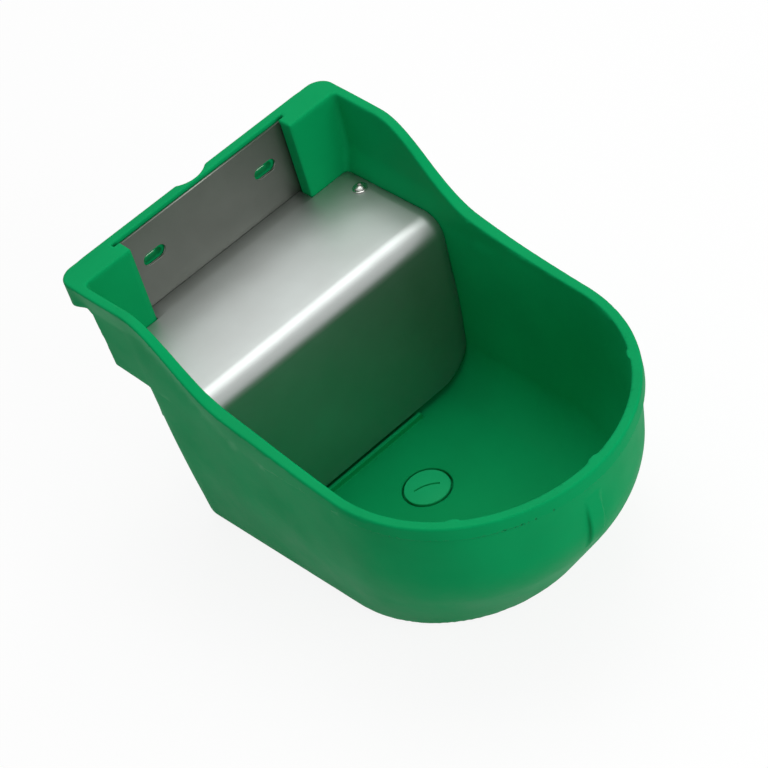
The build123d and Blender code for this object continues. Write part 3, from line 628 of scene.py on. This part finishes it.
def plain_plastic(name, dark, light, roughness, grain=0.8, depth=0.01, ior=1.5):
    """Engineering plastic or rubber with a fine eroded grain from its mould."""
    material, tree, shader, place = finish(name, 0.0, ior=ior)
    tree.links.new(two_tones(tree, place, 12, dark, light), shader.inputs["Base Color"])
    grains = node(tree, "ShaderNodeTexNoise", {"Vector": place, "Scale": per_metre(grain),
                                               "Detail": 3.0})
    surface(tree, shader, grains.outputs["Fac"], (roughness - 0.05, roughness + 0.08),
            grains.outputs["Fac"], depth)
    return material


FINISHES = {
    # moulded polyethylene: one deep green with a broad, dull sheen and no sharp reflection
    "moulded_green": moulded("green_polyethylene", "#089a5a", "#08a05e", 0.50),
    # the same plastic in a small piece: lighter and glossier than the bowl round it
    "plug_green": moulded("green_polyethylene_plug", "#1cb673", "#1cbc77", 0.38),
    # stainless sheet, rolled upwards: even dark grey that mirrors its surroundings faintly; its
    # base colour is set darker than the cover's as painted shade, standing in for the dark room it
    # mirrors
    "stainless_plate": rolled_steel("stainless_plate_painted_shade", "#7f817b", "#858781", 0.42,
                                    (0.7, 0.7, 40)),
    # cold-rolled sheet: pale top, blurred green of the walls, one bright line along the bend
    "stainless_cover": rolled_steel("rolled_stainless_cover", "#afb3b1", "#b3b8b6", 0.44),
    # turned bar: small sharp glints on the screw heads and washers
    "stainless_fasteners": turned_metal("turned_stainless", "#b4b4b0", "#c4c4c0", 0.25),
    # machined brass: warm yellow, tarnished a little darker in patches
    "brass": turned_metal("machined_brass", "#b08a45", "#c19a52", 0.3),
    # acetal: clean, slightly warm white with a low sheen
    "nozzle_white": plain_plastic("white_acetal", "#e2e0d8", "#ebe9e2", 0.4),
    # nitrile rubber: near black and matt
    "black_rubber": plain_plastic("nitrile_rubber", "#141414", "#1b1b1a", 0.62, 0.5, 0.02, 1.52),
    # blown polypropylene: milky white with a soft sheen
    "float_white": plain_plastic("white_polypropylene_float", "#dcdbd3", "#e8e6df", 0.45),
    # glass-filled nylon: charcoal with a fine grain
    "lever_black": plain_plastic("black_nylon", "#18191a", "#222325", 0.5, 0.6, 0.02, 1.53),
}


# ------------------------------------------------------------------ meshes

def keep(name, mesh, body, slot, *nodes):
    """Puts a mesh in the scene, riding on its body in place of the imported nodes."""
    piece = bpy.data.objects.new(name, mesh)
    bpy.context.scene.collection.objects.link(piece)
    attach(piece, body)
    if nodes:
        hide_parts(*nodes)
    mesh.materials.clear()
    mesh.materials.append(FINISHES[slot])
    return piece


def finished(mesh_object):
    """The mesh an object gives once its modifiers are applied; the object is deleted."""
    graph = bpy.context.evaluated_depsgraph_get()
    mesh = bpy.data.meshes.new_from_object(mesh_object.evaluated_get(graph))
    bpy.data.objects.remove(mesh_object)
    return mesh


def loose(name, mesh):
    """A working object for modifiers."""
    worked = bpy.data.objects.new(name, mesh)
    bpy.context.scene.collection.objects.link(worked)
    return worked


def softened(mesh, width, angle=35):
    """Mesh with edges sharper than an angle broken by a small bevel, shaded smooth."""
    worked = loose("softened", mesh)
    bevel = worked.modifiers.new("edges", "BEVEL")
    bevel.width, bevel.segments = width * MM, 2
    bevel.limit_method, bevel.angle_limit = "ANGLE", radians(angle)
    bevel.harden_normals = True
    mesh = finished(worked)
    mesh.shade_smooth()
    return mesh


def cut(mesh, tools, operation="DIFFERENCE"):
    """Mesh with other closed meshes cut out of it, or kept only where they overlap."""
    worked = loose("cut", mesh)
    cutters = [loose("cutter", tool) for tool in tools]
    for cutter in cutters:
        boolean = worked.modifiers.new("cut", "BOOLEAN")
        boolean.operation, boolean.solver, boolean.object = operation, "EXACT", cutter
    mesh = finished(worked)
    for cutter in cutters:
        bpy.data.objects.remove(cutter)
    return mesh


def mesh_of(name, shape, smooth=False):
    """Mesh of a finished bmesh, with its faces turned outwards."""
    bmesh.ops.recalc_face_normals(shape, faces=shape.faces)
    mesh = bpy.data.meshes.new(name)
    shape.to_mesh(mesh)
    shape.free()
    if smooth:
        mesh.shade_smooth()
    return mesh


def lathe(name, profile, segments=96):
    """Mesh turned about Z from (radius, height) points; a point on the axis closes it."""
    shape = bmesh.new()
    rings = []
    for radius, height in profile:
        if radius < 1e-6:
            rings.append([shape.verts.new((0, 0, height * MM))])
            continue
        rings.append([shape.verts.new((radius * cos(turn) * MM, radius * sin(turn) * MM,
                                       height * MM))
                      for turn in np.arange(segments) * 2 * pi / segments])
    closed = len(rings[0]) > 1 and len(rings[-1]) > 1
    pairs = zip(rings, rings[1:] + rings[:1] * closed)
    for low, high in pairs:
        for i in range(segments):
            corners = [low[i % len(low)], low[(i + 1) % len(low)],
                       high[(i + 1) % len(high)], high[i % len(high)]]
            shape.faces.new(list(dict.fromkeys(corners)))
    return mesh_of(name, shape, smooth=True)


def arc(centre, radius, first, last, count=6):
    """Points on an arc, angles in degrees."""
    return [(centre[0] + radius * cos(radians(turn)), centre[1] + radius * sin(radians(turn)))
            for turn in np.linspace(first, last, count)]


def prism(name, outline, low, high):
    """Mesh of an outline in XY between two heights."""
    shape = bmesh.new()
    ends = [[shape.verts.new((x * MM, y * MM, z * MM)) for x, y in outline] for z in (low, high)]
    shape.faces.new(ends[0])
    shape.faces.new(ends[1])
    for i in range(len(outline)):
        shape.faces.new([ends[0][i - 1], ends[0][i], ends[1][i], ends[1][i - 1]])
    return mesh_of(name, shape)


def hexagon(across_flats, turn=0.0):
    """Corners of a hexagon."""
    return arc((0, 0), across_flats / 2 / cos(pi / 6), turn, turn + 300, 6)


def moved(mesh, place, turn=(0, 0, 0)):
    """The same mesh turned, in degrees about X, Y and Z, and set down at a place."""
    turning = Matrix.Identity(4)
    for axis, degrees in zip("XYZ", turn):
        turning = Matrix.Rotation(radians(degrees), 4, axis) @ turning
    mesh.transform(Matrix.Translation(Vector(place) * MM) @ turning)
    return mesh


def joined(name, meshes):
    """Several meshes as one."""
    shape = bmesh.new()
    for mesh in meshes:
        shape.from_mesh(mesh)
    whole = bpy.data.meshes.new(name)
    shape.to_mesh(whole)
    shape.free()
    whole.shade_smooth()
    return whole


# ------------------------------------------------------------------ pieces

def make_bowl_shell():
    """Moulded bowl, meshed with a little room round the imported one."""
    step = BOWL_STEP
    room = Vector((4, 4, 4))
    mesh = mesh_from_field("bowl_moulding", bowl_field, BOWL_LOW - room, BOWL_HIGH + room, step,
                           BOWL_FLATNESS)
    keep("bowl_moulding", mesh, "bowl", "moulded_green", "bowl_shell")


def make_back_plate():
    """Stainless plate with two slots, their edges and the plate's own broken smooth."""
    outline = bpy.data.curves.new("plate_outline", "CURVE")
    outline.dimensions, outline.fill_mode = "2D", "BOTH"
    half, low, high = PLATE_HIGH.x, PLATE_LOW.z, PLATE_HIGH.z
    loops = [[(-half, low), (half, low), (half, high), (-half, high)]]
    reach, round_r = (SLOT_LENGTH - SLOT_HEIGHT) / 2, SLOT_HEIGHT / 2
    for middle in (-SLOT_X, SLOT_X):
        loops.append(arc((middle + reach, SLOT_Z), round_r, -90, 90, 20)
                     + arc((middle - reach, SLOT_Z), round_r, 90, 270, 20))
    for loop in loops:
        spline = outline.splines.new("POLY")
        spline.points.add(len(loop) - 1)
        for point, (x, z) in zip(spline.points, loop):
            point.co = (x * MM, z * MM, 0, 1)
        spline.use_cyclic_u = True
    thick = PLATE_HIGH.y - PLATE_LOW.y
    outline.bevel_depth, outline.bevel_resolution = PLATE_EDGE * MM, 3
    outline.extrude, outline.offset = (thick / 2 - PLATE_EDGE) * MM, -PLATE_EDGE * MM
    mesh = finished(loose("plate", outline))
    moved(mesh, (0, (PLATE_LOW.y + PLATE_HIGH.y) / 2, 0), (90, 0, 0))
    keep("wall_plate", mesh, "bowl", "stainless_plate", "back_plate")


def cover_half_width(y, z):
    """Half width of the cover where its skin passes through y, z."""
    front_r, reach, rear_half = wall_sizes(z, inner_inset(z) + COVER_PLAY)
    centre_y, lean = side_lean(front_r, reach, rear_half)
    half = (front_r - np.sin(lean) * (y - centre_y)) / np.cos(lean)
    into_floor = max(FLOOR_Z + CAVITY_FLOOR_R - z, 0)
    half -= CAVITY_FLOOR_R - (CAVITY_FLOOR_R ** 2 - into_floor ** 2) ** 0.5
    below = COVER_LOW.z + COVER_CORNER_R - z
    if below > 0:
        trimmed = COVER_CORNER_HALF - COVER_CORNER_R + (COVER_CORNER_R ** 2 - below ** 2) ** 0.5
        half = min(half, trimmed)
    behind = y - (PIER_FACE_Y - COVER_PLAY - PIER_CORNER_R)
    if behind > 0:
        half -= PIER_CORNER_R - max(PIER_CORNER_R ** 2 - behind ** 2, 0) ** 0.5
    return half


def cover_rows():
    """Side view of the cover's skin, from its rear edge to its foot, as (y, z) points."""
    bend_y, bend_z = COVER_LOW.y + COVER_BEND_R, COVER_HIGH.z - COVER_BEND_R
    rear = PIER_FACE_Y - COVER_PLAY
    round_the_corner = rear - PIER_CORNER_R * (1 - np.cos(np.linspace(0, pi / 2, 7)))
    straight = np.linspace(rear - PIER_CORNER_R, bend_y, 12)[1:]
    top = [(y, COVER_HIGH.z) for y in np.concatenate([round_the_corner, straight])]
    bend = arc((bend_y, bend_z), COVER_BEND_R, 90, 180, 25)[1:]
    foot, lift = COVER_LOW.z, COVER_CORNER_R
    front = [(COVER_LOW.y, z) for z in np.linspace(bend_z, foot + lift, 12)[1:]]
    corner_rows = [(COVER_LOW.y, foot + lift * (1 - sin(turn)))
                   for turn in np.linspace(0, pi / 2, 16)[1:]]
    return top + bend + front + corner_rows


def make_valve_cover():
    """Bent stainless cover: one skin, thickened inwards, its cut edges broken."""
    shape = bmesh.new()
    tongue_half = PIER_INNER_X - COVER_PLAY
    shares = np.linspace(-1, 1, 17)
    wing = np.linspace(0, 1, 6)[1:]
    rows = []
    for y, z in [(COVER_HIGH.y, COVER_HIGH.z)] + cover_rows():
        tongue = not rows
        half = tongue_half if tongue else cover_half_width(y, z)
        inner = tongue_half if tongue else min(tongue_half, half - WING_LEAST)
        across = list(shares * inner)
        if not tongue:
            across = list(-inner - (half - inner) * wing[::-1]) + across
            across += list(inner + (half - inner) * wing)
        verts = [shape.verts.new((x * MM, y * MM, z * MM)) for x in across]
        rows.append(verts if not tongue else [None] * len(wing) + verts + [None] * len(wing))
    for behind, ahead in zip(rows, rows[1:]):
        for i in range(len(behind) - 1):
            corners = [behind[i], behind[i + 1], ahead[i + 1], ahead[i]]
            if None not in corners:
                shape.faces.new(corners)
    mesh = mesh_of("cover_skin", shape)
    if mesh.polygons[0].normal.z < 0:
        mesh.flip_normals()
    worked = loose("cover_skin", mesh)
    thicken = worked.modifiers.new("sheet", "SOLIDIFY")
    thicken.thickness, thicken.offset = COVER_T * MM, -1
    mesh = softened(finished(worked), SHEET_EDGE, 50)
    keep("bent_cover", mesh, "bowl", "stainless_cover", "valve_cover")


def make_screws():
    """Two pan-head screws with hexagon sockets, on turned washers."""
    seat, top = WASHERS_HIGH.z, SCREWS_HIGH.z
    side_top = seat + SCREW_HEAD_SIDE
    dome = [(SCREW_HEAD_R * cos(turn), side_top + (top - side_top) * sin(turn)) for turn in
            np.linspace(0, pi / 2, 9)]
    shank = [(0, SCREWS_LOW.z), (SCREW_R - SCREW_POINT, SCREWS_LOW.z),
             (SCREW_R, SCREWS_LOW.z + SCREW_POINT)]
    head = [(SCREW_R, seat), (SCREW_HEAD_R - 0.2, seat), (SCREW_HEAD_R, seat + 0.2)] + dome
    ring = [(SCREW_R, WASHERS_LOW.z), (WASHER_R - 0.15, WASHERS_LOW.z),
            (WASHER_R, WASHERS_LOW.z + 0.15), (WASHER_R, seat - 0.2), (WASHER_R - 0.2, seat),
            (SCREW_R, seat)]
    screws, washers = [], []
    for x in (-SCREW_X, SCREW_X):
        screw = lathe("screw", shank + head, 48)
        socket = prism("socket", hexagon(SOCKET_AF, SOCKET_TURN), top - SOCKET_DEPTH, top + 1)
        screws.append(moved(cut(screw, [socket]), (x, SCREW_Y, 0)))
        washers.append(moved(lathe("washer", ring, 48), (x, SCREW_Y, 0)))
    keep("pan_screws", softened(joined("screws", screws), 0.12), "bowl",
         "stainless_fasteners", "cover_screws")
    keep("flat_washers", joined("washers", washers), "bowl", "stainless_fasteners",
         "cover_screw_washers")


def plug_profile():
    """Half section of the drain plug: hollow body, its thread as rings, and a domed cap."""
    top, foot = PLUG_HIGH.z, PLUG_LOW.z
    seat = top - PLUG_CROWN - PLUG_CAP_SIDE
    bore_r = PLUG_ROOT_R - PLUG_WALL
    dome_r = (PLUG_CAP_R ** 2 + PLUG_CROWN ** 2) / (2 * PLUG_CROWN)
    dome = [(r, top - dome_r + (dome_r ** 2 - r ** 2) ** 0.5) for r in
            np.linspace(PLUG_CAP_R - 1.2, 0, 12)]
    edge = arc((PLUG_CAP_R - PLUG_CAP_EDGE_R, dome[0][1] - PLUG_CAP_EDGE_R), PLUG_CAP_EDGE_R,
               0, 75, 6)
    thread = []
    for turn in np.arange(foot + 1.0, seat - 1.2, PLUG_PITCH / 2):
        thread += [(PLUG_ROOT_R, turn), (PLUG_THREAD_R, turn + 0.3), (PLUG_THREAD_R, turn + 0.8),
                   (PLUG_ROOT_R, turn + 1.1)]
    body = [(0, seat - 1), (bore_r, seat - 1), (bore_r, foot + 0.4), (bore_r + 0.4, foot),
            (PLUG_ROOT_R - 0.5, foot), (PLUG_ROOT_R, foot + 0.5)]
    cap = [(PLUG_ROOT_R, seat), (PLUG_CAP_R - 0.5, seat), (PLUG_CAP_R, seat + 0.5)]
    return body + thread + cap + edge + dome


def make_drain_plug():
    """Threaded plug with a curved coin slot in its domed cap."""
    plug = lathe("plug", plug_profile(), 128)
    sweep = np.degrees(COIN_SLOT_HALF / COIN_SLOT_R)
    centre = (0, -COIN_SLOT_R)
    outline = (arc(centre, COIN_SLOT_R + COIN_SLOT_SIDE, 90 - sweep, 90 + sweep, 14)
               + arc(centre, COIN_SLOT_R - COIN_SLOT_SIDE, 90 + sweep, 90 - sweep, 14))
    slot = prism("coin_slot", outline, PLUG_HIGH.z - COIN_SLOT_DEPTH, PLUG_HIGH.z + 2)
    moved(slot, (0, 0.5, 0), (0, 0, COIN_SLOT_TURN))
    plug = softened(cut(plug, [slot]), 0.25, 40)
    keep("screw_plug", moved(plug, (0, DRAIN_Y, 0)), "drain_plug", "plug_green", "drain_plug")


def make_locknut():
    """Locknut with chamfered corners and a chamfered bore."""
    across, thick = NUT_HIGH.z - NUT_LOW.z, NUT_HIGH.y - NUT_LOW.y
    corner_r = across / 2 / cos(pi / 6) + 1.0
    cone = lathe("nut_cone", [(0, 0), (across / 2, 0), (corner_r, NUT_CHAMFER),
                              (corner_r, thick - NUT_CHAMFER), (across / 2, thick), (0, thick)])
    hole = lathe("nut_hole", [(0, -1), (NUT_BORE_R + 1.2, -1), (NUT_BORE_R, 1.0),
                              (NUT_BORE_R, thick - 1.0), (NUT_BORE_R + 1.2, thick + 1),
                              (0, thick + 1)])
    nut = cut(prism("nut", hexagon(across), 0, thick), [cone], "INTERSECT")
    nut = softened(cut(nut, [hole]), 0.15)
    keep("brass_locknut", moved(nut, (0, NUT_HIGH.y, INLET_Z), (90, 0, 0)), "bowl", "brass",
         "inlet_locknut")


def thread_ridge(name, root_r, crest_r, pitch, low, high, segments=64):
    """Helical ridge of a pipe thread about Z; it fades in and out over half a turn."""
    count = int((high - low) / pitch * segments)
    shape = bmesh.new()
    last = None
    for i in range(count + 1):
        turn, height = 2 * pi * i / segments, low + pitch * i / segments
        fade = min(1, i / segments * 2, (count - i) / segments * 2)
        crest = root_r + (crest_r - root_r) * fade
        points = [(root_r, -0.40), (crest, -0.12), (crest, 0.12), (root_r, 0.40)]
        ring = [shape.verts.new((r * cos(turn) * MM, r * sin(turn) * MM,
                                 (height + pitch * share) * MM)) for r, share in points]
        if last:
            for j in range(4):
                shape.faces.new([last[j - 1], last[j], ring[j], ring[j - 1]])
        else:
            shape.faces.new(ring)
        last = ring
    shape.faces.new(last[::-1])
    return mesh_of(name, shape, smooth=True)


def make_tail_thread():
    """Thread on the tail behind the locknut."""
    length = TAIL_END_Y - NUT_HIGH.y - TAIL_RELIEF
    ridge = thread_ridge("tail_thread", TAIL_ROOT_R, TAIL_CREST_R, TAIL_PITCH, 1.0, length - 0.8)
    keep("tail_thread", moved(ridge, (0, TAIL_END_Y, INLET_Z), (90, 0, 0)), "bowl", "brass")


def dress_carried_nodes():
    """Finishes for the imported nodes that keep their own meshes."""
    for part in frame["record"]["subparts"]:
        for place in frame["nodes"][part["node"]].material_slots:
            place.material = FINISHES[part["material_slot"]]


# ------------------------------------------------------------------ room and light

# Metres and watts.

FLOOR_SIZE = 9.0
FLOOR_GLOW = 1.13           # brings the floor's share of glow and shadow back to white
SHADOW_DEPTH = 0.22         # share of the lit floor in what is seen
LAMP_TARGET = Vector((0, 0, 0.1))
LAMP_POWER, LAMP_SIZE, LAMP_PLACE = 15.4, 1.4, Vector((0.5, 0.4, 1.8))
GLINT_POWER, GLINT_SIZE, GLINT_PLACE = 0.6, 0.3, Vector((0.55, -0.45, 1.7))
FILL_POWER, FILL_SIZE, FILL_PLACE = 15.5, 1.2, Vector((0.2, -1.8, 0.9))
SKY_LEVEL = 0.39            # light of the sky on the object; it is seen as 1


def seen_ray(tree):
    """1 for what the camera sees directly, in a polished surface or through a clear one."""
    path = node(tree, "ShaderNodeLightPath")
    seen = path.outputs["Is Camera Ray"]
    for ray in ("Is Glossy Ray", "Is Transmission Ray"):
        seen = node(tree, "ShaderNodeMath", {0: seen, 1: path.outputs[ray]},
                    operation="MAXIMUM").outputs[0]
    return seen


def add_floor():
    """Pale floor that fades to the white of the background and keeps the shadow."""
    mesh = bpy.data.meshes.new("floor")
    half = FLOOR_SIZE / 2
    corners = [(-half, -half, 0), (half, -half, 0), (half, half, 0), (-half, half, 0)]
    mesh.from_pydata(corners, [], [(0, 1, 2, 3)])
    floor = bpy.data.objects.new("floor", mesh)
    bpy.context.scene.collection.objects.link(floor)
    material = bpy.data.materials.new("pale_floor")
    material.use_nodes = True
    tree = material.node_tree
    tree.nodes.clear()
    matt = node(tree, "ShaderNodeBsdfDiffuse", {"Color": linear("#c8c8c8")})
    glow = node(tree, "ShaderNodeEmission", {"Color": linear("#ffffff"), "Strength": FLOOR_GLOW})
    lit = node(tree, "ShaderNodeMixShader", {0: SHADOW_DEPTH, 1: glow.outputs[0],
                                             2: matt.outputs[0]})
    shown = node(tree, "ShaderNodeMixShader", {0: seen_ray(tree), 1: matt.outputs[0],
                                               2: lit.outputs[0]})
    node(tree, "ShaderNodeOutputMaterial", {"Surface": shown.outputs[0]})
    mesh.materials.append(material)


def add_lamp(name, power, size, place, mirrored=False):
    """Soft square lamp aimed at the bowl; only a mirrored one shows in polished surfaces."""
    lamp = bpy.data.lights.new(name, "AREA")
    lamp.energy, lamp.size = power, size
    holder = bpy.data.objects.new(name, lamp)
    turn = (LAMP_TARGET - place).to_track_quat("-Z", "Y").to_matrix().to_4x4()
    holder.matrix_world = Matrix.Translation(place) @ turn
    holder.visible_glossy = mirrored
    bpy.context.scene.collection.objects.link(holder)


def add_sky():
    """Even grey light all round, seen as white by the camera and in reflections."""
    world = bpy.data.worlds.new("studio")
    world.use_nodes = True
    bpy.context.scene.world = world
    tree = world.node_tree
    level = node(tree, "ShaderNodeMapRange", {"Value": seen_ray(tree), "To Min": SKY_LEVEL})
    backdrop = tree.nodes["Background"]
    backdrop.inputs["Color"].default_value = linear("#ffffff")
    tree.links.new(level.outputs["Result"], backdrop.inputs["Strength"])


# ------------------------------------------------------------------ scene

add_camera()
add_floor()
add_sky()
add_lamp("overhead", LAMP_POWER, LAMP_SIZE, LAMP_PLACE, mirrored=True)
add_lamp("glint", GLINT_POWER, GLINT_SIZE, GLINT_PLACE, mirrored=True)
add_lamp("fill", FILL_POWER, FILL_SIZE, FILL_PLACE)
bpy.context.scene.view_settings.view_transform = "Standard"

dress_carried_nodes()
make_bowl_shell()
make_back_plate()
make_valve_cover()
make_screws()
make_drain_plug()
make_locknut()
make_tail_thread()
